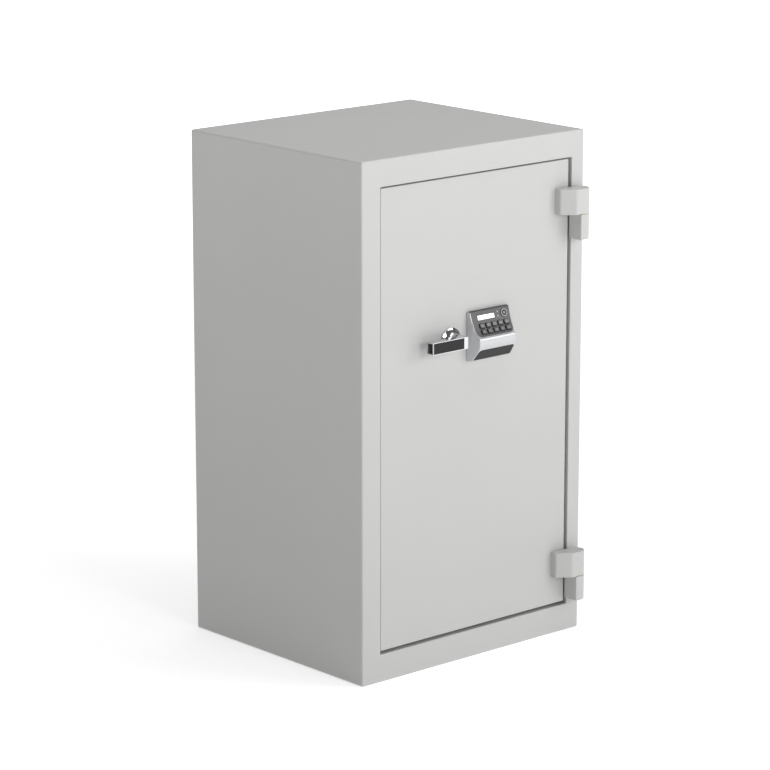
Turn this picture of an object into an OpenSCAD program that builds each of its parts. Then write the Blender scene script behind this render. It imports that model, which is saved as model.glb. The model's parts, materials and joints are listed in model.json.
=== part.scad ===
// Free-standing fire-resistant safe with one outward door, an electronic keypad and a lever handle.
// The origin is the middle of the footprint on the floor. +X is the hinge side, -Y the front, +Z up.

/* [Body] */
// Width of the body
body_w = 586; // [560:1:620]
// Depth of the body without hinges and handle
body_d = 510; // [500:1:560]
// Height of the body
body_h = 1030; // [1025:1:1100]
// Radius of the long outer edges
edge_r = 4; // [2:0.5:6]
// Thickness of the outer sheet
shell_t = 2.5; // [2:0.5:3]
// Thickness of the front flange, the back panel and the door face
plate_t = 3; // [2:0.5:3]
// Thickness of the side walls' fire filling
wall_fill = 62.5; // [55:0.5:64]

/* [Door opening] */
// Width of the front border on the closing side
border_left = 47; // [40:1:60]
// Width of the front border on the hinge side
border_right = 33; // [30:1:40]
// Height of the front border above the door
border_top = 53; // [50:1:60]
// Height of the front border below the door
border_bottom = 56; // [50:1:60]
// Gap at the door's closing side and top
gap_small = 3; // [3:0.5:4]
// Gap at the door's hinge side and bottom
gap_wide = 6; // [6:0.5:7]
// How far the door face lies behind the flange face
door_recess = 3; // [2:0.5:4]

/* [Hinges] */
// Distance of the hinge axis from the middle plane
hinge_x = 269; // [269:0.5:270]
// Radius of the hinge barrel
barrel_r = 16.5; // [15:0.5:17]
// Radius of the hinge pin
pin_r = 7; // [6:0.5:8]
// Height of one hinge leaf
leaf_h = 51; // [45:1:55]
// Heights of the lower ends of the fixed leaves
hinge_z = [69.5, 815]; // [60:0.5:900]

/* [Handle] */
// Place of the spindle across the door
spindle_x = -62.5; // [-70:0.5:-58]
// Height of the spindle above the floor
spindle_z = 655; // [640:0.5:680]
// Radius of the spindle
spindle_r = 8; // [7:0.5:8]
// Length of the lever's block
lever_l = 90.5; // [85:0.5:100]
// Height of the lever's block
lever_h = 24; // [22:0.5:26]
// Thickness of the lever's block
lever_t = 20; // [17:0.5:21]
// Radius of the rose at the door
rose_r = 25; // [22:0.5:26]

/* [Keypad] */
// Place of the keypad's middle across the door
pad_x = 33.8; // [30:0.1:35]
// Height of the keypad's top edge
pad_z = 704; // [700:0.5:710]
// Width of the keypad where it meets the door
pad_w = 108.5; // [106:0.5:112]
// How much narrower each side gets for every millimetre in front of the door
pad_draft = 0.2; // [0:0.05:0.25]
// Distance between neighbouring keys in a row
key_pitch = 16.25; // [16:0.25:17]

/* [Boltwork] */
// Module of the rack and pinion teeth
tooth_m = 2; // [2:0.5:2]
// Number of teeth on the pinion
pinion_teeth = 18; // [18:2:18]
// Radius of the bolts on the closing side
bolt_r = 10; // [8:0.5:10]
// Heights of the side bolts
bolt_z = [260, 518, 776]; // [200:1:800]

/* [Inside] */
// Heights of the shelves' top faces
shelf_z = [300, 520, 740]; // [150:5:900]
// Distance between the two anchor holes in the floor
anchor_span = 300; // [200:5:350]
// Radius of the anchor holes
anchor_r = 7; // [5:0.5:8]

/* [Hidden] */
$fn = 48;
front_y = -body_d / 2;
back_y = body_d / 2;
half_w = body_w / 2;
sheet = 2;

// door opening and the door that fills it, as [x0, x1, z0, z1]
opening = [-half_w + border_left, half_w - border_right, border_bottom, body_h - border_top];
door = [opening[0] + gap_small, opening[1] - gap_wide, opening[2] + gap_wide, opening[3] - gap_small];
door_y = front_y + door_recess;
skin_back_y = door_y + 18;
// the thick plug behind the door skin, and the second jamb that takes its bolts
plug = [door[0] + 20, door[1] - 15, door[2] + 20, door[3] - 20];
jamb = [opening[0] + 12, opening[1] - 14, opening[2] + 12, opening[3] - 12];
ledge_y = front_y + 27;
plug_back_y = front_y + 79;
cover_y = plug_back_y - sheet;
screw_r = 2.5;
screw_head = 2.2;
jamb_back_y = front_y + 83;
seal_t = 5;
door_seal_t = 1.5;
// mounting plate of the boltwork
work_y = front_y + 50;
plate_y = work_y - sheet;

// room inside the liner
liner_t = 1.5;
room = [-half_w + shell_t + wall_fill, half_w - shell_t - wall_fill, 78, 955];
room_back_y = back_y - 65;
sleeve_t = 5;

// hinge axis, the pin's seat in the fixed leaf and its length above it
hinge_y = front_y - 17.5;
leaf_gap = 1.1;
pin_seat = 6;
pin_up = 38;
run_fit = 0.05;

// pinion and its three racks: the first layer drives the side bolts, the second the two rods
pitch_r = tooth_m * pinion_teeth / 2;
tooth_pitch = PI * tooth_m;
throw = pitch_r * PI / 2;
press_a = 20;
tip_h = 0.95 * tooth_m;
root_h = 1.2 * tooth_m;
layer_a = [work_y + 1, work_y + 7];
layer_b = [work_y + 8, work_y + 14];
disc_y = work_y + 15.5;
disc_t = 5;
disc_r = 35;
rod_w = 9.6;
rack_back = 11;
flat_y = layer_a[0] + 4;
rod_in = pitch_r + root_h;
rod_mid = rod_in + rod_w / 2;
rod_y = (layer_b[0] + layer_b[1]) / 2;
rod_r = 8;
rack_x = [spindle_x - 8, spindle_x + throw + 8];
carriage_x = [plug[0] + 33, plug[0] + 81];
carriage_z = [bolt_z[0] - 30, bolt_z[2] + 30];
guide_pin_x = carriage_x[0] + 10;
guide_pin_z = [340, 600, 730];
guide_pin_r = 4;
bolt_y = work_y + 14;
dog_y = work_y + 13;
dog_r = 8;
dog_out = 16;
dog_foot = 10;
// strike plates: thickness, place in depth, half the width of the two for the rods, room around a bolt
strike_t = 4;
strike_y = [bolt_y - 18, bolt_y + 18];
strike_half = 20;
strike_fit = 1.5;
bolt_room = 24;
// heights of the guides of the top rod and of the bottom rod
top_guide_z = [spindle_z + 41, 850];
low_guide_z = [spindle_z - 69, 160];

// lock that holds the disc
lock_x = [spindle_x + 40, spindle_x + 122];
lock_screw_r = 3;
lock_z = [spindle_z - 30.5, spindle_z + 30.5];
lock_back_y = work_y + 24;
lock_tip_x = spindle_x + disc_r + 2;
lock_bolt_h = 14;
lock_bolt_l = 40;
cable_z = pad_z - 26.5;
cable_r = 2.5;
cable_way_r = 6;
bush_t = 4;

// lever and rose, as distances in front of the door face
lever_front_y = front_y - 37;
lever_back_y = lever_front_y + lever_t;
lever_x1 = spindle_x + 9.5;
lever_x0 = lever_x1 - lever_l;
rose_h = 17.5;
insert_t = 2.5;
lever_rim = 2;
lever_end = 10;
neck_r = 10.5;
spindle_y = lever_front_y + 4;
collar_t = 1.5;

// keypad profile: a hollow-curved upper face from face_top to face_end, as [y, z]
face_top = [front_y - 4.7, pad_z - 0.5];
face_end = [front_y - 27.2, pad_z - 49.1];
face_sag = 3;
face_v = face_end - face_top;
face_l = norm(face_v);
face_c = atan2(-face_v[0], -face_v[1]);
function face_a(t) = face_c - atan(4 * face_sag * (1 - 2 * t) / face_l);
function face_p(t, out = 0) = face_top + t * face_v
    + 4 * face_sag * t * (1 - t) * [cos(face_c), -sin(face_c)]
    + out * [-cos(face_a(t)), sin(face_a(t))];
face_steps = [for (i = [0:12]) i / 12];
slope_top = [front_y - 28.4, pad_z - 72.9];
slope_end = [front_y - 11, pad_z - 96.2];
slope_v = slope_end - slope_top;
slope_a = atan2(-slope_v[1], slope_v[0]);
pad_bottom = pad_z - 97.8;
pad_profile = concat(
    [[door_y, pad_z]],
    [for (t = face_steps) face_p(t)],
    [[front_y - 29.8, pad_z - 52.3], [front_y - 29.9, pad_z - 64.7], slope_top, slope_end],
    [[door_y, pad_bottom]]
);
pad_wall = 2.2;
// rows of keys and the round key, as places down the curved face from 0 to 1
key_mid = pad_x + 3.2;
row_t = [0.56, 0.79];
enter_t = 0.215;
enter_x = pad_x + 35.7;
enter_r = 8;
key_size = [12.5, 9.5];
key_digits = [1, 2, 3, 4, 5, 6, 7, 8, 9, 0];
display = [pad_x - 34, pad_x + 10, 0.16, 0.325];
lamp_x = pad_x + 19.6;
lamp_t = [0.14, 0.29];
lamp_r = 1.6;
// how deep the key bodies and their flanges sit under the face, and how far the keys stand out
key_depth = 2.4;
key_flange_t = 1.8;
key_out = 2.2;
enter_out = 1.6;
key_fit = 0.6;

// ---------- helpers ----------

// a box between two corners
module block(x, y, z) {
    translate([x[0], y[0], z[0]])
        cube([x[1] - x[0], y[1] - y[0], z[1] - z[0]]);
}

// cylinders along Y and along X
module rod_along_y(r, y, x, z) {
    translate([x, y[1], z])
        rotate([90, 0, 0])
            cylinder(r = r, h = y[1] - y[0]);
}

module rod_along_x(r, x, y, z) {
    translate([x[0], y, z])
        rotate([0, 90, 0])
            cylinder(r = r, h = x[1] - x[0]);
}

// extrusions of an outline drawn as (x, z) and as (y, z)
module extrude_y(y) {
    translate([0, y[1], 0])
        rotate([90, 0, 0])
            linear_extrude(height = y[1] - y[0])
                children();
}

module extrude_x(x) {
    translate([x[0], 0, 0])
        rotate([90, 0, 90])
            linear_extrude(height = x[1] - x[0])
                children();
}

// an upright rectangle, grown by g on every side
module area(r, g = 0) {
    translate([r[0] - g, r[2] - g])
        square([r[1] - r[0] + 2 * g, r[3] - r[2] + 2 * g]);
}

// a rectangular sleeve of thickness t around an area
module sleeve(r, t, y) {
    extrude_y(y)
        difference() {
            area(r, t);
            area(r);
        }
}

module body_outline() {
    x = half_w - edge_r;
    translate([-x, 0])
        square([2 * x, body_h]);
    translate([-half_w, edge_r])
        square([body_w, body_h - 2 * edge_r]);
    for (i = [-x, x], k = [edge_r, body_h - edge_r])
        translate([i, k])
            circle(r = edge_r);
}

// ---------- body ----------

module outer_shell() {
    color([0.82, 0.82, 0.8])
        difference() {
            extrude_y([front_y + plate_t, back_y - plate_t])
                body_outline();
            block([-half_w + shell_t, half_w - shell_t], [front_y, back_y], [shell_t, body_h - shell_t]);
            anchor_holes([-1, shell_t + 1]);
        }
}

module anchor_holes(z, r = anchor_r) {
    for (i = [-1, 1])
        translate([i * anchor_span / 2, 0, z[0]])
            cylinder(r = r, h = z[1] - z[0]);
}

module back_panel() {
    color([0.82, 0.82, 0.8])
        extrude_y([back_y - plate_t, back_y])
            body_outline();
}

module bolt_ways(grow, depth) {
    for (z = bolt_z) {
        rod_along_x(bolt_r + grow, [jamb[0] - depth, jamb[0] + 1], bolt_y, z);
        block([jamb[1] - 1, jamb[1] + depth], [dog_y - dog_r - 4, dog_y + dog_r + 2],
              [z - dog_r - 2, z + dog_r + 2]);
    }
    translate([spindle_x + rod_mid, rod_y, jamb[3] - 1])
        cylinder(r = rod_r + grow, h = depth + 1);
    translate([spindle_x - rod_mid, rod_y, jamb[2] - depth])
        cylinder(r = rod_r + grow, h = depth + 1);
}

module front_frame() {
    color([0.84, 0.84, 0.82])
        difference() {
            union() {
                extrude_y([front_y, front_y + plate_t])
                    difference() {
                        body_outline();
                        area(opening);
                    }
                sleeve(opening, sheet, [front_y + plate_t, ledge_y + sheet]);
                extrude_y([ledge_y, ledge_y + sheet])
                    difference() {
                        area(opening, sheet);
                        area(jamb);
                    }
                sleeve(jamb, sheet, [ledge_y + sheet, jamb_back_y]);
            }
            bolt_ways(strike_fit, 2 * sheet);
        }
}

// the four plates around the jamb, between two distances outside it
module strike_blocks(from, to) {
    block([jamb[0] - to, jamb[0] - from], strike_y, carriage_z);
    block([jamb[1] + from, jamb[1] + to], strike_y, carriage_z);
    block([spindle_x + rod_mid - strike_half, spindle_x + rod_mid + strike_half], strike_y,
          [jamb[3] + from, jamb[3] + to]);
    block([spindle_x - rod_mid - strike_half, spindle_x - rod_mid + strike_half], strike_y,
          [jamb[2] - to, jamb[2] - from]);
}

module strike_plates() {
    color([0.6, 0.6, 0.62])
        difference() {
            strike_blocks(sheet, sheet + strike_t);
            bolt_ways(strike_fit, 10);
        }
}

module wall_filling() {
    x = half_w - shell_t;
    color([0.86, 0.84, 0.78])
        difference() {
            block([-x, x], [front_y + plate_t, back_y - plate_t], [shell_t, body_h - shell_t]);
            extrude_y([front_y, ledge_y + sheet])
                area(opening, sheet);
            extrude_y([ledge_y, jamb_back_y + liner_t])
                area(jamb, sheet);
            extrude_y([jamb_back_y, room_back_y + liner_t])
                area(room, liner_t);
            bolt_ways(2 * strike_fit, bolt_room);
            strike_blocks(0, sheet + strike_t);
            anchor_holes([0, room[2]], anchor_r + sleeve_t);
        }
}

module inner_liner() {
    color([0.88, 0.88, 0.86])
        difference() {
            union() {
                extrude_y([jamb_back_y, jamb_back_y + liner_t])
                    area(jamb, sheet);
                extrude_y([jamb_back_y, room_back_y + liner_t])
                    area(room, liner_t);
            }
            extrude_y([jamb_back_y - 1, room_back_y])
                area(room);
            anchor_holes([room[2] - liner_t - 1, room[2] + 1]);
        }
}

module anchor_sleeves() {
    color([0.6, 0.6, 0.62])
        difference() {
            anchor_holes([shell_t, room[2] - liner_t], anchor_r + sleeve_t);
            anchor_holes([0, room[2]]);
        }
}

// heat-swelling strip on the ledge behind the door skin
module frame_seal() {
    color([0.3, 0.3, 0.3])
        extrude_y([ledge_y - seal_t, ledge_y])
            difference() {
                area(opening, -1);
                area(jamb, sheet);
            }
}

// ---------- shelves ----------

strip_y = [-124, 136];
strip_w = 12;
strip_z = [120, 880];
slot_step = 40;
slot = [4, 8];
shelf_y = [-150, 170];
shelf_lip = 20;
clip = [8, 10, 8];

module shelf_strips() {
    color([0.7, 0.7, 0.7])
        difference() {
            for (x = [room[0], room[1] - sheet], y = strip_y)
                block([x, x + sheet], [y - strip_w / 2, y + strip_w / 2], strip_z);
            for (y = strip_y, z = [strip_z[0] + 20:slot_step:strip_z[1] - 20])
                block([room[0] - 1, room[1] + 1], [y - slot[0] / 2, y + slot[0] / 2],
                      [z - slot[1] / 2, z + slot[1] / 2]);
        }
}

module shelf_clips() {
    color([0.55, 0.55, 0.56])
        for (top = shelf_z, y = strip_y, i = [-1, 1])
            translate([i * (room[1] - sheet - clip[0] / 2), y, top - sheet - clip[2] / 2])
                cube(clip, center = true);
}

module shelves() {
    x = room[1] - 2 * sheet;
    color([0.85, 0.85, 0.83])
        for (top = shelf_z) {
            block([-x, x], shelf_y, [top - sheet, top]);
            for (y = [shelf_y[0], shelf_y[1] - sheet])
                block([-x, x], [y, y + sheet], [top - shelf_lip, top - sheet]);
        }
}

// ---------- hinges ----------

module at_hinges(dz = 0) {
    for (z = hinge_z)
        translate([hinge_x, hinge_y, z + dz])
            children();
}

module fixed_hinge_leaves() {
    left = -14.5;
    color([0.84, 0.84, 0.82])
        at_hinges()
            difference() {
                union() {
                    cylinder(r = barrel_r, h = leaf_h);
                    translate([left, -barrel_r, 0])
                        cube([-left, front_y - hinge_y + barrel_r, leaf_h]);
                    cube([barrel_r, front_y - hinge_y, leaf_h]);
                }
                translate([0, 0, pin_seat])
                    cylinder(r = pin_r, h = leaf_h);
            }
}

module hinge_pins() {
    color([0.7, 0.7, 0.72])
        at_hinges(pin_seat)
            cylinder(r = pin_r, h = leaf_h - pin_seat + leaf_gap + pin_up);
}

module hinge_washers() {
    color([0.75, 0.6, 0.3])
        at_hinges(leaf_h)
            difference() {
                cylinder(r = barrel_r - 1.5, h = leaf_gap - 0.1);
                translate([0, 0, -1])
                    cylinder(r = pin_r + 0.5, h = 5);
            }
}

module door_hinge_leaves() {
    back = door_y - hinge_y;
    clear = front_y - 1 - hinge_y;
    edge = door[1] - 0.5 - hinge_x;
    // reach over the door, front of the leaf's far end, start of its slant
    reach = -52;
    far = 4.8;
    slant = -26.5;
    color([0.84, 0.84, 0.82])
        at_hinges(leaf_h + leaf_gap)
            difference() {
                union() {
                    cylinder(r = barrel_r, h = leaf_h);
                    linear_extrude(height = leaf_h)
                        polygon([[reach, back], [reach, far], [slant, -barrel_r], [0, -barrel_r],
                                 [0, clear], [edge, clear], [edge, back]]);
                }
                translate([0, 0, -1])
                    cylinder(r = pin_r + run_fit, h = pin_up + 3);
            }
}

// ---------- door ----------

module door_ways(grow = 0) {
    rod_along_y(spindle_r + bush_t + grow, [door_y - 1, work_y + 1], spindle_x, spindle_z);
    rod_along_y(cable_way_r + grow, [door_y - 1, work_y + 1], pad_x, cable_z);
}

module door_skin() {
    color([0.84, 0.84, 0.82])
        difference() {
            extrude_y([door_y, skin_back_y])
                area(door);
            extrude_y([door_y + plate_t, skin_back_y + 1])
                area(door, -sheet);
            door_ways();
        }
}

module door_filling() {
    color([0.86, 0.84, 0.78])
        difference() {
            union() {
                extrude_y([door_y + plate_t, skin_back_y - sheet])
                    area(door, -sheet);
                extrude_y([skin_back_y - sheet, plate_y])
                    area(plug, -sheet);
            }
            door_ways(0.2);
        }
}

module door_box() {
    lip = 12;
    color([0.8, 0.8, 0.78])
        difference() {
            union() {
                extrude_y([skin_back_y - sheet, skin_back_y])
                    area(door, -sheet);
                extrude_y([skin_back_y - sheet, cover_y])
                    area(plug);
            }
            extrude_y([skin_back_y - sheet - 1, cover_y - sheet])
                area(plug, -sheet);
            extrude_y([cover_y - sheet - 1, cover_y + 1])
                area(plug, -lip);
            for (z = bolt_z) {
                rod_along_x(bolt_r + 0.5, [plug[0] - 1, plug[0] + sheet + 1], bolt_y, z);
                rod_along_x(dog_r, [plug[1] - sheet - 1, plug[1] + 1], dog_y, z);
            }
            translate([spindle_x + rod_mid, rod_y, plug[3] - sheet - 1])
                cylinder(r = rod_r + 0.5, h = 5);
            translate([spindle_x - rod_mid, rod_y, plug[2] - 1])
                cylinder(r = rod_r + 0.5, h = 5);
            at_cover_screws()
                rod_along_y(screw_r, [cover_y - sheet - 1, plug_back_y], 0, 0);
        }
}

module boltwork_plate() {
    color([0.62, 0.62, 0.64])
        difference() {
            extrude_y([plate_y, work_y])
                area(plug, -sheet);
            door_ways();
        }
}

module at_cover_screws() {
    inset = 6.5;
    end = 25;
    rows = 4;
    for (x = [plug[0] + inset, plug[1] - inset], k = [0:rows])
        translate([x, 0, plug[2] + end + k * (plug[3] - plug[2] - 2 * end) / rows])
            children();
}

module door_cover() {
    color([0.86, 0.86, 0.84])
        difference() {
            extrude_y([cover_y, plug_back_y])
                area(plug);
            at_cover_screws()
                rod_along_y(screw_r + 0.25, [cover_y - 1, plug_back_y + 1], 0, 0);
        }
}

module cover_screws() {
    color([0.7, 0.7, 0.72])
        at_cover_screws() {
            rod_along_y(screw_r, [cover_y - sheet, plug_back_y], 0, 0);
            rod_along_y(screw_r + 2, [plug_back_y, plug_back_y + screw_head], 0, 0);
        }
}

module dog_bolts() {
    color([0.75, 0.75, 0.77])
        for (z = bolt_z) {
            rod_along_x(dog_r, [plug[1] - sheet, plug[1] + dog_out], dog_y, z);
            rod_along_x(dog_r + 3, [plug[1] - sheet - dog_foot, plug[1] - sheet], dog_y, z);
        }
}

module door_seal() {
    color([0.3, 0.3, 0.3])
        sleeve(plug, door_seal_t, [ledge_y + 6, ledge_y + 22]);
}

// ---------- handle ----------

module handle_rose() {
    bore = spindle_r + 1;
    rose_profile = [[rose_r, 0], [rose_r, 2], [rose_r - 4, 5.5], [rose_r - 8.5, 11.5],
                    [rose_r - 11, rose_h]];
    color([0.85, 0.85, 0.87])
        translate([spindle_x, door_y, spindle_z])
            rotate([90, 0, 0])
                rotate_extrude()
                    polygon(concat([[bore, rose_h], [bore, 0]], rose_profile));
}

module spindle_bush() {
    color([0.75, 0.6, 0.3])
        difference() {
            rod_along_y(spindle_r + bush_t, [door_y, work_y], spindle_x, spindle_z);
            rod_along_y(spindle_r + run_fit, [door_y - 1, work_y + 1], spindle_x, spindle_z);
        }
}

module insert_space(out) {
    half = lever_h / 2 - lever_rim;
    block([lever_x0 + lever_rim, lever_x1 - lever_end], [lever_front_y - out, lever_front_y + insert_t],
          [spindle_z - half, spindle_z + half]);
}

module lever() {
    color([0.85, 0.85, 0.87])
        difference() {
            union() {
                block([lever_x0, lever_x1], [lever_front_y, lever_back_y],
                      [spindle_z - lever_h / 2, spindle_z + lever_h / 2]);
                rod_along_y(neck_r, [lever_back_y, door_y - rose_h - 0.5], spindle_x, spindle_z);
            }
            insert_space(1);
            rod_along_y(spindle_r, [spindle_y, lever_back_y + 5], spindle_x, spindle_z);
        }
}

module lever_insert() {
    color([0.12, 0.12, 0.13])
        insert_space(0);
}

module spindle() {
    end_y = disc_y + disc_t + collar_t;
    color([0.7, 0.7, 0.72]) {
        rod_along_y(spindle_r, [spindle_y, end_y], spindle_x, spindle_z);
        difference() {
            rod_along_y(spindle_r + 4, [end_y - collar_t, end_y], spindle_x, spindle_z);
            rod_along_y(spindle_r, [disc_y, end_y + 1], spindle_x, spindle_z);
        }
    }
}

// ---------- rack and pinion ----------

// involute flank: half the angle a tooth takes at radius r, less the running play
base_r = pitch_r * cos(press_a);
play_a = 0.3;
flank_steps = 4;
function inv(a) = tan(a) * 180 / PI - a;
function flank_a(r) = 90 / pinion_teeth + inv(press_a) - inv(acos(min(1, base_r / r))) - play_a;
flank_r = concat([pitch_r - root_h],
                 [for (i = [0:flank_steps]) base_r + i * (pitch_r + tip_h - base_r) / flank_steps]);

module tooth() {
    low = [for (r = flank_r) r * [cos(flank_a(r)), -sin(flank_a(r))]];
    high = [for (i = [len(low) - 1:-1:0]) [low[i][0], -low[i][1]]];
    polygon(concat([[pitch_r / 2, 0]], low, high));
}

module pinion() {
    color([0.6, 0.6, 0.62])
        translate([spindle_x, disc_y, spindle_z])
            rotate([90, 0, 0])
                linear_extrude(height = disc_y - layer_a[0])
                    difference() {
                        union() {
                            circle(r = pitch_r - root_h + 0.05);
                            for (i = [0:pinion_teeth - 1])
                                rotate(i * 360 / pinion_teeth)
                                    tooth();
                        }
                        circle(r = spindle_r);
                    }
}

// rack drawn along X with its teeth pointing down and its pitch line on Z = 0
module rack(from, to, height, shift = 0) {
    half = tooth_pitch / 4 - 0.05;
    slant = tan(press_a);
    translate([from, root_h])
        square([to - from, height]);
    for (i = [ceil((from - shift) / tooth_pitch + 0.5):floor((to - shift) / tooth_pitch - 0.5)])
        translate([i * tooth_pitch + shift, 0])
            polygon([[-half - root_h * slant, root_h + 0.01], [-half + tip_h * slant, -tip_h],
                     [half - tip_h * slant, -tip_h], [half + root_h * slant, root_h + 0.01]]);
}

// disc with a notch for the lock bolt at both ends of the handle's travel
module locking_disc() {
    color([0.65, 0.65, 0.67])
        difference() {
            rod_along_y(disc_r, [disc_y, disc_y + disc_t], spindle_x, spindle_z);
            rod_along_y(spindle_r, [disc_y - 1, disc_y + disc_t + 1], spindle_x, spindle_z);
            for (a = [0, 90])
                translate([spindle_x, disc_y, spindle_z])
                    rotate([0, a, 0])
                        translate([disc_r - 11, -1, -lock_bolt_h / 2 - 0.6])
                            cube([20, disc_t + 2, lock_bolt_h + 1.2]);
        }
}

// ---------- boltwork ----------

module bolt_carriage() {
    y = [layer_a[0], flat_y];
    slot_r = guide_pin_r + 0.3;
    arm_z = spindle_z + pitch_r + root_h;
    color([0.6, 0.6, 0.62])
        difference() {
            union() {
                block(carriage_x, y, carriage_z);
                block([carriage_x[1] - 1, rack_x[0] + 0.5], layer_a, [arm_z, arm_z + rack_back]);
                extrude_y(layer_a)
                    translate([spindle_x, spindle_z + pitch_r])
                        rack(rack_x[0] - spindle_x, rack_x[1] - spindle_x, rack_back);
            }
            for (z = guide_pin_z)
                extrude_y([y[0] - 1, y[1] + 1])
                    translate([guide_pin_x, z]) {
                        circle(r = slot_r);
                        translate([throw, 0])
                            circle(r = slot_r);
                        translate([0, -slot_r])
                            square([throw, 2 * slot_r]);
                    }
        }
}

module side_bolts() {
    color([0.75, 0.75, 0.77])
        for (z = bolt_z)
            difference() {
                rod_along_x(bolt_r, [plug[0] + 0.5, carriage_x[1] - 8], bolt_y, z);
                block([carriage_x[0] - 1, carriage_x[1]], [bolt_y - bolt_r - 1, flat_y],
                      [z - bolt_r - 2, z + bolt_r + 2]);
            }
}

module guide_pins() {
    color([0.7, 0.7, 0.72])
        for (z = guide_pin_z) {
            rod_along_y(guide_pin_r, [work_y, flat_y + 0.5], guide_pin_x, z);
            rod_along_y(guide_pin_r + 3, [flat_y + 0.5, flat_y + 2.5], guide_pin_x, z);
        }
}

// upright rod whose rack faces the pinion; it is drawn moving up on the pinion's right-hand side
module lift_rod(end_z) {
    reach = throw + 8;
    round_l = 46;
    color([0.6, 0.6, 0.62])
        translate([spindle_x, 0, spindle_z]) {
            extrude_y(layer_b)
                rotate(-90)
                    translate([0, pitch_r])
                        rack(-8, reach, rod_w, tooth_pitch / 2);
            block([rod_in, rod_in + rod_w], layer_b, [7.5, end_z - round_l + 1]);
            translate([rod_mid, rod_y, end_z - round_l])
                cylinder(r = rod_r, h = round_l);
        }
}

module top_rod() {
    lift_rod(plug[3] - 1 - spindle_z);
}

module bottom_rod() {
    translate([spindle_x, 0, spindle_z])
        rotate([0, 180, 0])
            translate([-spindle_x, 0, -spindle_z])
                lift_rod(spindle_z - plug[2] - 1);
}

module rod_guides() {
    slack = 0.3;
    half = rod_w / 2 + slack;
    wall = 8;
    h = 12;
    color([0.65, 0.65, 0.67])
        difference() {
            for (i = [1, -1], z = i > 0 ? top_guide_z : low_guide_z)
                translate([spindle_x + i * rod_mid, 0, 0])
                    block([-half - wall, half + wall], [work_y, layer_b[1] + 4], [z, z + h]);
            for (i = [1, -1])
                translate([spindle_x + i * rod_mid, 0, 0])
                    block([-half, half], [layer_b[0] - slack, layer_b[1] + slack], [plug[2], plug[3]]);
        }
}

// ---------- lock ----------

module at_lock_screws() {
    inset = 8;
    for (x = [lock_x[0] + inset, lock_x[1] - inset], z = [lock_z[0] + inset, lock_z[1] - inset])
        translate([x, 0, z])
            children();
}

module lock_case() {
    slack = 0.25;
    h = lock_bolt_h / 2 + slack;
    y = [disc_y - 2 * slack, disc_y + disc_t + 2 * slack];
    color([0.45, 0.45, 0.47])
        difference() {
            block(lock_x, [work_y, lock_back_y], lock_z);
            block([lock_x[0] - 1, lock_tip_x + lock_bolt_l + 2], y, [spindle_z - h, spindle_z + h]);
            at_lock_screws()
                rod_along_y(lock_screw_r, [work_y - 1, lock_back_y + 1], 0, 0);
        }
}

module lock_screws() {
    color([0.7, 0.7, 0.72])
        at_lock_screws() {
            rod_along_y(lock_screw_r, [work_y, lock_back_y], 0, 0);
            rod_along_y(lock_screw_r + 2, [lock_back_y, lock_back_y + 1.8], 0, 0);
        }
}

module lock_bolt() {
    color([0.75, 0.6, 0.3])
        block([lock_tip_x, lock_tip_x + lock_bolt_l], [disc_y - 0.25, disc_y + disc_t + 0.25],
              [spindle_z - lock_bolt_h / 2, spindle_z + lock_bolt_h / 2]);
}

module lock_cable() {
    color([0.15, 0.15, 0.15])
        rod_along_y(cable_r, [door_y - 7, work_y], pad_x, cable_z);
}

// ---------- keypad ----------

// plan of the keypad, narrowing towards the front, drawn inset by g at both sides
module pad_plan(g = 0) {
    deep = 40;
    half = pad_w / 2 - g;
    translate([pad_x, door_y])
        polygon([[-half, 1], [-half, 0], [-half + deep * pad_draft, -deep],
                 [half - deep * pad_draft, -deep], [half, 0], [half, 1]]);
}

module pad_prism(g = 0) {
    intersection() {
        extrude_x([pad_x - pad_w, pad_x + pad_w])
            children();
        translate([0, 0, pad_bottom - 5])
            linear_extrude(height = 110)
                pad_plan(g);
    }
}

// strip along the curved face from place a to place b, between two heights above it
module face_strip(a, b, low, high) {
    n = 10;
    ts = [for (i = [0:n]) a + (b - a) * i / n];
    polygon(concat([for (t = ts) face_p(t, high)], [for (i = [n:-1:0]) face_p(ts[i], low)]));
}

module slope_strip(a, b, low, high) {
    n = [-slope_v[1], slope_v[0]] / norm(slope_v) * -1;
    polygon([slope_top + a * slope_v + low * n, slope_top + b * slope_v + low * n,
             slope_top + b * slope_v + high * n, slope_top + a * slope_v + high * n]);
}

// local frame on the face: +Z out of it, +Y up along it
module on_face(x, t) {
    p = face_p(t);
    translate([x, p[0], p[1]])
        rotate([90 - face_a(t), 0, 0])
            children();
}

module keypad_base() {
    rim = 4;
    base_t = 2;
    color([0.2, 0.2, 0.21])
        difference() {
            block([pad_x - pad_w / 2 + rim, pad_x + pad_w / 2 - rim], [door_y - base_t, door_y],
                  [pad_bottom + rim, pad_z - rim]);
            rod_along_y(cable_way_r, [door_y - base_t - 1, door_y + 1], pad_x, cable_z);
        }
}

module keypad_housing() {
    color([0.62, 0.63, 0.65])
        difference() {
            pad_prism()
                polygon(pad_profile);
            pad_prism(pad_wall)
                offset(delta = -pad_wall)
                    polygon(concat([[door_y + 5, pad_z], [door_y, pad_z]],
                                   [for (i = [1:len(pad_profile) - 1]) pad_profile[i]],
                                   [[door_y + 5, pad_bottom]]));
            pad_prism(1.6)
                face_strip(0.02, 0.97, -4, 3);
            pad_prism(3.4)
                slope_strip(0.06, 0.94, -4, 2);
        }
}

module key_places(grow) {
    for (i = [0:9])
        on_face(key_mid + (i % 5 - 2) * key_pitch, row_t[floor(i / 5)])
            linear_extrude(height = 8, center = true)
                square(key_size + [grow, grow], center = true);
}

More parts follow.
